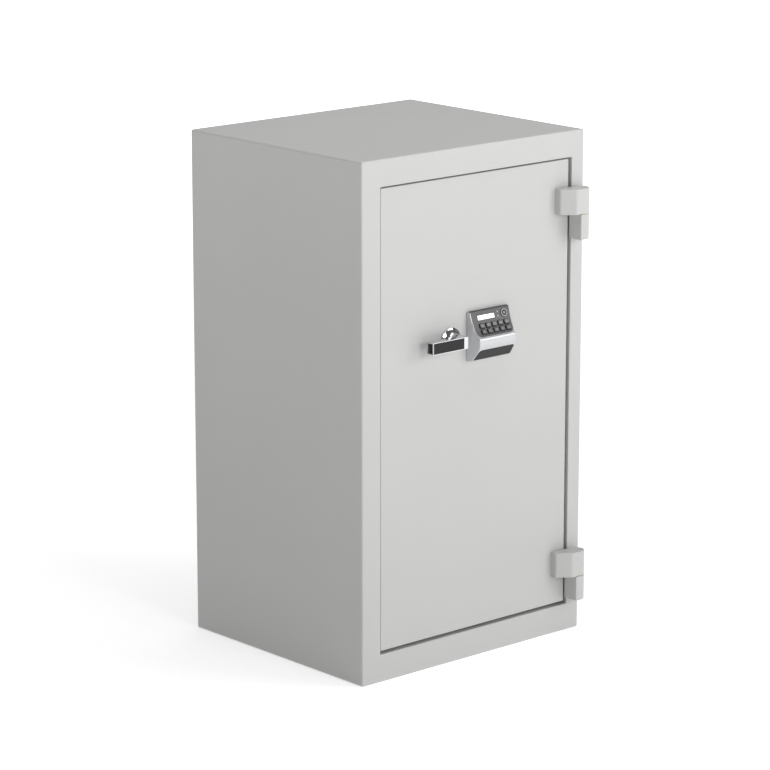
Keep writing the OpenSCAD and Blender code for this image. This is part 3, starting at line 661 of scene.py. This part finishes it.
class SAFE_OT_front_frame(Operator):
    """Front frame: one closed section of flange, ledge and jamb carried round the opening"""

    bl_idname = "safe.front_frame"
    bl_label = "Front frame"

    def execute(self, context):
        edge = context.scene.safe_sizes.flange_round * 1000
        rows = rounded(
            [row(BODY, FRONT + 3), row(BODY, FRONT), row(BODY, FRONT, -5), row(OPENING, FRONT, 5),
             row(OPENING, FRONT), row(OPENING, LEDGE), row(JAMB, LEDGE), row(JAMB, JAMB_END),
             row(JAMB, JAMB_END, 2), row(JAMB, LEDGE + 2, 2), row(OPENING, LEDGE + 2, 2),
             row(OPENING, FRONT + 3, 2)],
            [0.02, edge, 0, 0, 1.3, 0.8, 0.8, 0.3, 0.3, 0.5, 0.5, 0.02], 4)
        front = object_of("front_frame_piece", loft(frame_rings(rows), closed=True))
        cuts = []
        for z in BOLT_Z:
            cuts.append(bar(BOLT_R + 1.5, JAMB[0] - 4, JAMB[0] + 3, (BOLT_Y, z), "X"))
            y = size("dog_bolts").mean(0)[1]
            slot = rounded([(JAMB[1] - 3, y - 12), (JAMB[1] + 4, y - 12),
                            (JAMB[1] + 4, y + 10), (JAMB[1] - 3, y + 10)], 0.3, 1)
            cuts.append(loft(prism_rings(slot, z - 10, z + 10, 0.2)))
        for node, side, z in (("top_rod", 1, JAMB[3]), ("bottom_rod", 0, JAMB[2])):
            x = size(node)[side, 0] + (-8 if side else 8)
            cuts.append(bar(9.5, z - 4, z + 4, (x, size(node).mean(0)[1]), "Z"))
        combine(front, joined(cuts))
        finished(front, finish("front_paint"), "body", "front_paint", "front_frame")
        return {"FINISHED"}


class SAFE_OT_door_panel(Operator):
    """Door panel: a tray of sheet with a rounded face, pierced for the spindle and the cable"""

    bl_idname = "safe.door_panel"
    bl_label = "Door panel"

    def execute(self, context):
        edge = context.scene.safe_sizes.door_round * 1000
        rows = rounded(
            [row(DOOR, DOOR_FACE + 3, -20), row(DOOR, DOOR_FACE + 3, -2), row(DOOR, DOOR_EDGE_END, -2),
             row(DOOR, DOOR_EDGE_END), row(DOOR, DOOR_FACE), row(DOOR, DOOR_FACE, -5),
             row(DOOR, DOOR_FACE, -60)],
            [0, 0.3, 0.2, 0.3, edge, 0, 0], 4, closed=False)
        door = object_of("door_panel", loft(frame_rings(rows)))
        cuts = [bar(r, DOOR_FACE - 5, DOOR_FACE + 8, place) for r, place in ((12, SPINDLE), (6, CABLE))]
        combine(door, joined(cuts))
        finished(door, finish("front_paint"), "door", "front_paint", "door_skin")
        return {"FINISHED"}


class SAFE_OT_hinges(Operator):
    """Hinge leaves: outlines round the pin's axis with flats and a slant, carried up with rounded ends"""

    bl_idname = "safe.hinges"
    bl_label = "Hinges"

    def execute(self, context):
        edge = context.scene.safe_sizes.leaf_round * 1000
        reach = FRONT - AXIS[1]
        r = 16.4
        fixed = rounded([(-14.5, reach), (-14.5, -16.5), (16.5, -16.5), (16.5, reach)], [0.4, 2, r, 0.4], 12)
        back = DOOR_FACE - AXIS[1]
        swing = rounded([(-52, back), (-52, 4.8), (-26.5, -16.5), (16.5, -16.5), (16.5, 16.5), (-15.5, 16.5),
                         (-15.5, back)], [0.4, 2, 2.5, r, r, 0.3, 0.3], 12)
        pins = size("hinge_pins")
        for name, outline, node, body in (("fixed_leaf", fixed, "fixed_hinge_leaves", "body"),
                                          ("door_leaf", swing, "door_hinge_leaves", "door")):
            (_, _, low), (_, _, high) = size(node)
            gap = pins[0, 2] - size("fixed_hinge_leaves")[0, 2]
            tall = 51.0
            parts, cuts = [], []
            for foot in (low, high - tall):
                parts.append(loft(prism_rings(outline + AXIS, foot, foot + tall, edge)))
                bore = (foot + gap, foot + tall + 5) if body == "body" else (foot - 5, foot + 41)
                cuts.append(bar(7.05, *bore, AXIS, "Z", 48))
            leaf = object_of(name, joined(parts))
            combine(leaf, joined(cuts))
            finished(leaf, finish("front_paint"), body, "front_paint", node)
        return {"FINISHED"}


def end_rings(out, less):
    """Cap in the lever's free end: an upright bar whose front is bowed, x = bow (1 - u^2) over its depth."""
    (x0, y0, z0), (_, _, z1) = size("lever")
    u = np.linspace(-1, 1, 15)
    y = y0 + 8.6 + (6.4 - less) * u
    front = np.stack([x0 + 1.5 - out - 1.2 * (1 - u * u), y], 1)
    outline = np.concatenate([front[::-1], [(x0 + 3.2, y[0]), (x0 + 3.2, y[-1])]])
    return prism_rings(outline, z0 + 2 + less, z1 - 2 - less, 0.02, 1)


class SAFE_OT_handle(Operator):
    """Handle: lever block with a pocket and its insert, and a rose turned from a hollow cone"""

    bl_idname = "safe.handle"
    bl_label = "Handle"

    def execute(self, context):
        edge = context.scene.safe_sizes.lever_round * 1000
        block, pocket = facing("lever", corner=1.0), facing("lever_insert", 0.6, 0.8)
        (_, face, _), (_, floor, _) = size("lever_insert")
        back = face + 20
        rows = rounded([row(block, back, -6), row(block, back), row(block, face), row(pocket, face),
                        row(pocket, floor)], [0, 1.0, edge, 0.25, 0], 4, closed=False)
        lever = object_of("lever_block", loft(frame_rings(rows)))
        neck_end = size("lever")[1, 1]
        combine(lever, bar(10.5, back - 4, neck_end, SPINDLE, "Y", 64), "UNION")
        combine(lever, loft(end_rings(6.0, 0.0)))
        finished(lever, finish("polished_chrome"), "handle", "polished_chrome", "lever")

        rows = rounded([row(pocket, floor, -0.1), row(pocket, face + 0.25, -0.1),
                        row(pocket, face + 0.25, -3)], [0, 0.4, 0], 3, closed=False)
        inlay = loft(frame_rings(rows))
        insert = object_of("lever_inlay", joined([inlay, loft(end_rings(0.0, 0.15))]))
        finished(insert, finish("lever_insert"), "handle", "black_plastic", "lever_insert")

        (_, tip, _), (_, seat, _) = size("handle_rose")
        reach = (size("handle_rose")[1, 0] - size("handle_rose")[0, 0]) / 2
        u = np.linspace(0, 1, 14)
        cone = np.stack([12.6 + (reach - 13.2) * (1 - u) ** 2.3, seat - 3 - u * (seat - 4 - tip)], 1)
        profile = np.concatenate([
            rounded([(9, tip), (9, seat), (reach, seat), (reach, seat - 2.4)], [0.3, 0.05, 0.05, 0.5], 3),
            cone, rounded([(12.6, tip)], [0.0], 0)])
        rose = object_of("rose", loft(lathe_rings(profile, SPINDLE, "Y", 96), closed=True))
        finished(rose, finish("polished_chrome"), "door", "polished_chrome", "handle_rose", sharp=30)
        return {"FINISHED"}


def outward(outline):
    """Mitre vectors of a closed outline, turned away from its middle."""
    mitre = outline - inset(outline, 1.0)
    facing_out = (mitre * (outline - outline.mean(0))).sum() > 0
    return mitre if facing_out else -mitre


def pad_rings(margin, edge, back):
    """Keypad's side profile carried across its width; at both sides it draws in by edge (1 - sin t).

    The profile is the hollow face, the band and the lower slope. A margin moves its corners inwards,
    for the room inside, and then each corner is rounded.
    """
    face = np.stack(face_curve(np.linspace(0, 1, 13)), 1)
    corners = np.concatenate([
        [(DOOR_FACE, PAD[0, 2])], [SLOPE_B, SLOPE_A],
        [(FRONT - 29.9, PAD_TOP - 64.7), (FRONT - 29.8, PAD_TOP - 52.3)],
        face[::-1], [(DOOR_FACE, PAD_TOP)]])
    corners = corners - margin * outward(corners)
    corners[[0, -1], 0] = back
    radii = np.concatenate([[0.3, 1.6, 2.0, 2.0, 2.0, 1.2], np.full(11, 0.8), [1.2, 0.3]])
    outline = rounded(corners, radii / (1 + margin), 3)[::-1]
    mitre = outward(outline)
    s = np.linspace(0, np.pi / 2, 5)
    draw, step = edge * (1 - np.sin(s)), edge * (1 - np.cos(s))
    rings = []
    for side, order in ((-1, slice(None)), (1, slice(None, None, -1))):
        yz = outline[None] - draw[order][:, None, None] * mitre[None]
        yz[..., 0] = np.where(outline[None, :, 0] > back - 0.4, back, yz[..., 0])
        x = PAD_X + side * (half_width(yz[..., 0], margin) - step[order][:, None])
        rings.append(np.concatenate([x[..., None], yz], 2))
    return np.concatenate(rings)


FACE_LENGTH = 53.6
SLOPE_LENGTH = float(np.linalg.norm(SLOPE_B - SLOPE_A))


class SAFE_OT_keypad_housing(Operator):
    """Keypad housing with its room, the recess for the face and the battery cover's opening"""

    bl_idname = "safe.keypad_housing"
    bl_label = "Keypad housing"

    def execute(self, context):
        sizes = context.scene.safe_sizes
        corner, lower = sizes.face_corner * 1000, sizes.cover_corner * 1000
        housing = object_of("keypad_shell", loft(pad_rings(0, sizes.pad_round * 1000, DOOR_FACE - 0.9)))
        combine(housing, loft(pad_rings(2.2, 0.5, DOOR_FACE + 5)))
        combine(housing, loft(slab_rings(face_curve, FACE_LENGTH, (-0.05, 0.97), -4, 3,
                                         lambda y: half_width(y, 1.4), (0.1, corner + 0.3))))
        combine(housing, loft(slab_rings(lower_slope, SLOPE_LENGTH, (0.005, 0.975), -4, 2,
                                         lambda y: half_width(y, 1.6), (lower + 0.3, 2.5))))
        finished(housing, finish("silver_plastic"), "door", "silver_plastic", "keypad_housing", sharp=35)
        cover = object_of("battery_lid_piece", loft(slab_rings(
            lower_slope, SLOPE_LENGTH, (0.015, 0.965), -2, 0, lambda y: half_width(y, 1.85), (lower, 2.2))))
        finished(cover, finish("black_plastic"), "battery_lid", "black_plastic", "battery_cover", edge=0.35)
        return {"FINISHED"}


class SAFE_OT_keypad_face(Operator):
    """Keypad face on the hollow curve, with its wells, display and lamps"""

    bl_idname = "safe.keypad_face"
    bl_label = "Keypad face"

    def execute(self, context):
        sizes = context.scene.safe_sizes
        gap = sizes.key_gap * 1000
        face = object_of("face_panel", loft(slab_rings(
            face_curve, FACE_LENGTH, (-0.006, 0.96), -1.9, 0,
            lambda y: half_width(y, 1.7), (0.6, sizes.face_corner * 1000))))
        cuts = [loft(on_face(frame_rings([row(KEY_CAP, -6, gap), row(KEY_CAP, 6, gap)]), x, t))
                for _, x, t in key_places()]
        ring = lambda r: solid_rings([(r, -6), (r, 6)])
        cuts.append(loft(on_face(ring(8.7), *ENTER)))
        lamps = size("indicator_lamps")
        lamp_x = lamps[:, 0].mean()
        cuts += [loft(on_face(ring(1.7), lamp_x, t)) for t in LAMP_ROWS]
        window = size("display_window")
        middle, half = window[:, 0].mean(), (window[1, 0] - window[0, 0]) / 2
        shape = dict(centre=middle, steps=16)
        cuts.append(loft(slab_rings(
            face_curve, FACE_LENGTH, (0.16, 0.325), -6, 3, half, (0.6, 0.6), **shape)))
        combine(face, joined(cuts))
        finished(face, finish("face_plastic"), "door", "face_plastic", "keypad_face", edge=0.18)
        reach = half_width(FACE_A[0], 1.7)
        seam = np.array([PAD_X - reach, PAD_X + reach, PAD_TOP - 0.5, PAD_TOP + 0.2, 0.3])
        rows = rounded([row(seam, FACE_A[0] - 0.1, -0.3), row(seam, FACE_A[0] - 0.1),
                        row(seam, DOOR_FACE - 1), row(seam, DOOR_FACE - 1, -0.3)],
                       [0, 0.1, 0.1, 0], 2, closed=False)
        finished(object_of("face_seam", loft(frame_rings(rows))), finish("key_body"), "door", "black_plastic")
        display = object_of("display", loft(slab_rings(
            face_curve, FACE_LENGTH, (0.163, 0.322), -1.9, -0.25, half - 0.15, (0.5, 0.5), **shape)))
        finished(display, finish("display_glass"), "door", "display_glass", "display_window", edge=0.15)
        dome = rounded([(1.6, -3), (1.6, 0.1), (0.4, 0.45)], [0, 0.5, 0], 4, closed=False)
        lenses = [loft(on_face(solid_rings(dome), lamp_x, t)) for t in LAMP_ROWS]
        finished(object_of("lamps", joined(lenses)), finish("lamp_lens"), "door", "lamp_lens",
                 "indicator_lamps")
        return {"FINISHED"}


def digit_shape(text, height):
    """Flat figure of a plain typeface as a thin solid, centred, with its way up along Z."""
    curve = bpy.data.curves.new("figure", "FONT")
    curve.body, curve.size, curve.extrude = text, height, 0.04
    holder = bpy.data.objects.new("figure", curve)
    bpy.context.scene.collection.objects.link(holder)
    bpy.context.view_layer.update()
    mesh = bpy.data.meshes.new_from_object(holder.evaluated_get(bpy.context.evaluated_depsgraph_get()))
    points = np.empty(len(mesh.vertices) * 3)
    mesh.vertices.foreach_get("co", points)
    points = points.reshape(-1, 3)
    points -= (points.min(0) + points.max(0)) / 2
    faces = [list(p.vertices) for p in mesh.polygons]
    bpy.data.objects.remove(holder)
    bpy.data.curves.remove(curve)
    bpy.data.meshes.remove(mesh)
    return points[:, [0, 2, 1]], faces


class SAFE_OT_keys(Operator):
    """Keys: black bodies with grey tops set towards the upper right, so the black band left of and below each
    top is painted shade of the keys' sides and gaps; figures on the ten digit keys and rings on the round one
    """

    bl_idname = "safe.keys"
    bl_label = "Keys"

    def execute(self, context):
        flange = np.array([-7.5, 7.5, -6, 6, 1.4])
        rows = rounded([row(flange, -4.2), row(flange, -2.4), row(KEY_CAP, -2.4),
                        row(KEY_CAP, 2.0), row(KEY_CAP, 2.0, -1.2)],
                       [0, 0.2, 0.2, 0.6, 0], 3, closed=False)
        # The grey top sits towards the upper right of the black key. The wider black band it leaves on the
        # left and at the bottom is painted shade of the key's sides and of the gap round it.
        shade_offset_plate = np.array([-4.3, 5.65, -3.1, 4.2, 1.1])
        top = rounded([row(shade_offset_plate, 1.9), row(shade_offset_plate, 2.2), row(shade_offset_plate, 2.2, -1)], [0, 0.2, 0], 2, closed=False)
        for digit, x, t in key_places():
            body = f"key_{digit}_cap"
            piece = object_of(f"digit_{digit}", loft(on_face(frame_rings(rows), x, t)))
            finished(piece, finish("key_body"), body, "key_caps", f"key_{digit}")
            tile = object_of(f"digit_{digit}_top", loft(on_face(frame_rings(top), x, t)))
            finished(tile, finish("key_top"), body, "key_caps")
            points, faces = digit_shape(str(digit), context.scene.safe_sizes.digit_height * 1000)
            figure = object_of(f"digit_{digit}_figure", (on_face(points + (0.65, 2.22, 0.55), x, t), faces))
            finished(figure, finish("legend"), body, "key_caps")
        body = "key_enter_cap"
        knob = rounded([(8.6, -4.2), (8.8, -4.2), (8.8, -2.4), (8, -2.4), (8, 1.2), (7, 1.2)],
                       [0, 0.2, 0.2, 0.1, 0.5, 0], 3, closed=False)
        piece = object_of("round_key", loft(on_face(solid_rings(knob, segments=64), *ENTER)))
        finished(piece, finish("key_body"), body, "key_caps", "key_enter")
        ring = rounded([(5.9, 1.0), (7.9, 1.0), (7.9, 1.6), (5.9, 1.6)], [0, 0, 0.25, 0], 3)
        dot = rounded([(2.4, 1.0), (2.4, 1.6), (1.8, 1.6)], [0, 0.25, 0], 3, closed=False)
        parts = [loft(on_face(lathe_rings(ring, (0, 0), "Y", 48), *ENTER), True),
                 loft(on_face(solid_rings(dot), *ENTER))]
        finished(object_of("round_key_rings", joined(parts)), finish("legend"), body, "key_caps")
        return {"FINISHED"}


class SAFE_OT_inside(Operator):
    """Liner, shelves, door box and cover: sheet parts with their edges broken, and the sealing strips"""

    bl_idname = "safe.inside"
    bl_label = "Inside"

    def execute(self, context):
        for name, node, slot, body, edge in (
            ("liner", "inner_liner", "liner_paint", "body", 0.6),
            ("shelf_set", "shelves", "liner_paint", "body", 0.5),
            ("shelf_rails", "shelf_strips", "zinc_steel", "body", 0.25),
            ("shelf_hooks", "shelf_clips", "zinc_steel", "body", 0.8),
            ("strikes", "strike_plates", "zinc_steel", "body", 0.4),
            ("door_tray", "door_box", "liner_paint", "door", 0.4),
            ("door_back", "door_cover", "liner_paint", "door", 0.5),
            ("cover_screw_set", "cover_screws", "zinc_steel", "door", 0.5),
            ("lock_body", "lock_case", "lock_zinc", "door", 1.0),
            ("sleeves", "anchor_sleeves", "zinc_steel", "body", 0.4),
            ("cells", "battery_cells", "battery_wrap", "door", 0.7),
            ("keypad_foot", "keypad_base", "black_plastic", "door", 0.3),
        ):
            machined(name, node, finish(slot), body, slot, edge)
        for name, node, body in (("ledge_strip", "frame_seal", "body"), ("plug_strip", "door_seal", "door")):
            machined(name, node, finish("seal_strip"), body, "seal_strip", 0.7)
        return {"FINISHED"}


class SAFE_OT_bolts(Operator):
    """Bolts: turned bars with domed or chamfered ends, and the two rods"""

    bl_idname = "safe.bolts"
    bl_label = "Bolts"

    def execute(self, context):
        for name, node, body, edge in (
            ("throw_bolts", "side_bolts", "carriage", 1.2),
            ("fixed_bolts", "dog_bolts", "door", 1.2),
            ("upper_rod", "top_rod", "top_bolt", 0.4),
            ("lower_rod", "bottom_rod", "bottom_bolt", 0.4),
        ):
            machined(name, node, finish("bolt_chrome"), body, "bolt_chrome", edge)
        return {"FINISHED"}


class SAFE_OT_carried(Operator):
    """Finishes for the CAD nodes that stay as they are"""

    bl_idname = "safe.carried"
    bl_label = "Other nodes"

    def execute(self, context):
        named = {m["slot"]: m for m in frame["record"]["materials"]}
        steel = {"spindle", "guide_pins", "hinge_pins"}
        for node, obj in frame["nodes"].items():
            if obj.hide_render:
                continue
            slot = CARRIED.get(node, "zinc_steel")
            if node in steel:
                slot = "bolt_chrome"
            if slot not in named:
                raise RuntimeError(f"the record has no finish named {slot}")
            obj.data.materials.clear()
            obj.data.materials.append(finish(slot))
        return {"FINISHED"}


CARRIED = {
    "wall_filling": "fire_filling", "door_filling": "fire_filling", "hinge_washers": "brass",
    "spindle_bush": "brass", "lock_bolt": "brass", "lock_cable": "cable_jacket",
    "circuit_board": "board_green",
}


class SAFE_OT_stage(Operator):
    """Stage: plain floor, soft lights and the camera"""

    bl_idname = "safe.stage"
    bl_label = "Stage"

    def execute(self, context):
        s = context.scene.safe_stage
        x, y = np.meshgrid(np.linspace(-30, 30, 3), np.linspace(-30, 30, 3))
        points = np.stack([x.ravel(), y.ravel(), 0 * x.ravel() - 0.0004], 1)
        mesh = bpy.data.meshes.new("floor")
        mesh.from_pydata(points.tolist(), [], [(a, a + 1, a + 4, a + 3) for a in (0, 1, 3, 4)])
        floor = bpy.data.objects.new("floor", mesh)
        context.scene.collection.objects.link(floor)
        sheet = Shader("floor_sheet", (0.86, 0.86, 0.86), Roughness=0.9, Emission_Strength=1.0,
                       Specular_IOR_Level=0.1)
        reach = sheet.node("ShaderNodeVectorMath", {"operation": "LENGTH"}, {0: sheet.place}, out="Value")
        far = sheet.node("ShaderNodeMapRange", {"interpolation_type": "SMOOTHSTEP"},
                         {"Value": reach, "From Min": 1.0, "From Max": 8.0})
        sheet.set(Emission_Color=sheet.mixed(far, [s.floor] * 3, [s.sweep] * 3))
        mesh.materials.append(sheet.material)

        aim = Vector((0, 0, 0.5))
        for name, power, place, width, height in (
            ("key", s.key, (2.6, -3.6, 2.3), 2.4, 2.0),
            ("top", s.top, (0.2, 0.0, 3.4), 3.2, 3.2),
            ("front", s.front, (-0.4, -4.4, 1.9), 1.6, 1.2),
        ):
            lamp = bpy.data.lights.new(name, "AREA")
            lamp.shape, lamp.size, lamp.size_y, lamp.energy = "RECTANGLE", width, height, power
            holder = bpy.data.objects.new(name + "_light", lamp)
            holder.location = place
            holder.rotation_euler = (aim - Vector(place)).to_track_quat("-Z", "Y").to_euler()
            holder.visible_camera = False
            context.scene.collection.objects.link(holder)

        world = bpy.data.worlds.new("surroundings")
        world.use_nodes = True
        nodes, links = world.node_tree.nodes, world.node_tree.links
        way, height, rise = (nodes.new("ShaderNode" + kind)
                             for kind in ("TexCoord", "SeparateXYZ", "MapRange"))
        rise.interpolation_type = "SMOOTHSTEP"
        for name, value in (("From Min", 0.1), ("From Max", 0.7), ("To Min", s.low), ("To Max", s.sky)):
            rise.inputs[name].default_value = value
        links.new(way.outputs["Generated"], height.inputs[0])
        links.new(height.outputs["Z"], rise.inputs["Value"])
        links.new(rise.outputs[0], nodes["Background"].inputs["Strength"])
        nodes["Background"].inputs["Color"].default_value = (1, 1, 1, 1)
        context.scene.world = world
        context.scene.view_settings.view_transform = "Standard"

        camera = bpy.data.objects.new("camera", bpy.data.cameras.new("camera"))
        camera.data.lens, camera.data.sensor_width = 158.27, 36
        camera.data.clip_end = 200
        camera.location = (-4.4037, -4.9394, 2.1187)
        camera.rotation_euler = Vector((0.646, 0.7258, -0.2363)).to_track_quat("-Z", "Y").to_euler()
        context.scene.collection.objects.link(camera)
        context.scene.camera = camera
        return {"FINISHED"}


OPERATORS = (SAFE_OT_case, SAFE_OT_front_frame, SAFE_OT_door_panel, SAFE_OT_hinges, SAFE_OT_handle,
             SAFE_OT_keypad_housing, SAFE_OT_keypad_face, SAFE_OT_keys, SAFE_OT_inside, SAFE_OT_bolts,
             SAFE_OT_carried, SAFE_OT_stage)


class SAFE_PT_build(Panel):
    """Sizes, colours, light and the steps that build the safe"""

    bl_label = "Safe"
    bl_idname = "SAFE_PT_build"
    bl_space_type = "VIEW_3D"
    bl_region_type = "UI"
    bl_category = "Safe"

    def draw(self, context):
        for group in (context.scene.safe_sizes, context.scene.safe_colours, context.scene.safe_stage):
            column = self.layout.column(align=True)
            for name in group.__annotations__:
                column.prop(group, name)
        column = self.layout.column(align=True)
        for operator in OPERATORS:
            column.operator(operator.bl_idname)


CLASSES = (SafeSizes, SafeColours, SafeStage, *OPERATORS, SAFE_PT_build)


def register():
    for item in CLASSES:
        bpy.utils.register_class(item)
    bpy.types.Scene.safe_sizes = PointerProperty(type=SafeSizes)
    bpy.types.Scene.safe_colours = PointerProperty(type=SafeColours)
    bpy.types.Scene.safe_stage = PointerProperty(type=SafeStage)


def unregister():
    del bpy.types.Scene.safe_stage, bpy.types.Scene.safe_colours, bpy.types.Scene.safe_sizes
    for item in reversed(CLASSES):
        bpy.utils.unregister_class(item)


def main():
    register()
    for operator in OPERATORS:
        group, name = operator.bl_idname.split(".")
        getattr(getattr(bpy.ops, group), name)()


if __name__ == "__main__":
    main()
